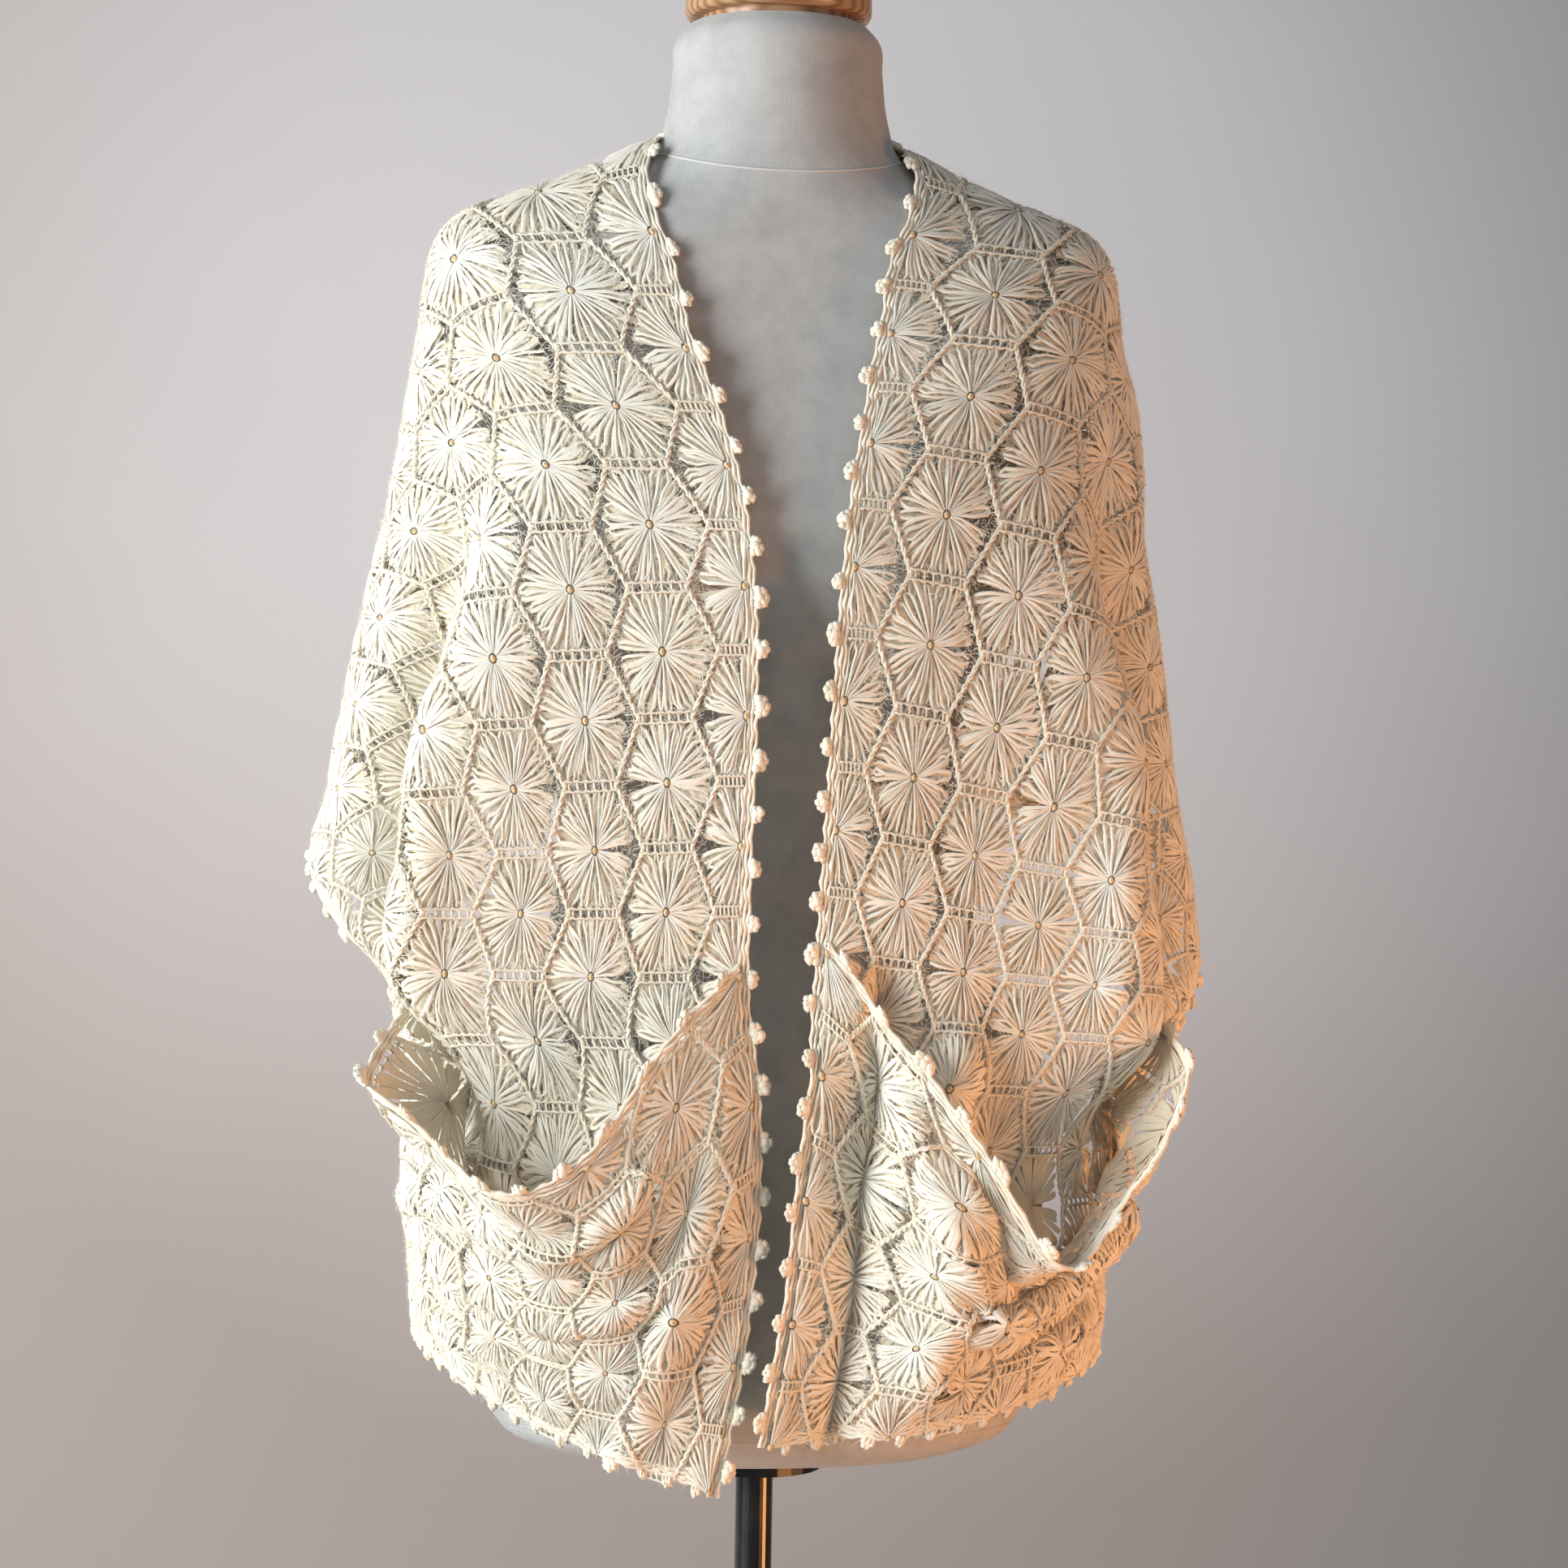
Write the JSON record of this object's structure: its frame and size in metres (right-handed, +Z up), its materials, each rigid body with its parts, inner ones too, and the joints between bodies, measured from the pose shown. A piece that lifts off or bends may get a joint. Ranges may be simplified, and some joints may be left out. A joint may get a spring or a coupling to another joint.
{
  "type": "lace pocket shawl on a limbless dress form with a stand",
  "caption": "Hexagonal flower-lace wool shawl with turned-up pockets and a picot border, draped over a limbless dress form on a round-based stand.",
  "frame": {"origin": "centre of the base's underside, on the floor", "axes": "+Z up along the pole, -Y to the front of the form, +X to the viewer's right"},
  "size_m": [0.5251, 0.359, 1.6008],
  "materials": {
    "cream_wool": "soft matt brushed wool lace",
    "form_cover": "matt pale grey linen",
    "cap_wood": "satin turned wood",
    "black_metal": "gloss black"
  },
  "bodies": {
    "root": {"shawl_body": "cream_wool", "left_pocket": "cream_wool", "right_pocket": "cream_wool", "front_edging": "cream_wool", "hem_edging": "cream_wool", "left_pocket_edging": "cream_wool", "right_pocket_edging": "cream_wool", "form_torso": "form_cover", "neck_cap": "cap_wood", "mounting_plate": "black_metal", "pole": "black_metal", "base": "black_metal"}
  },
  "joints": []
}
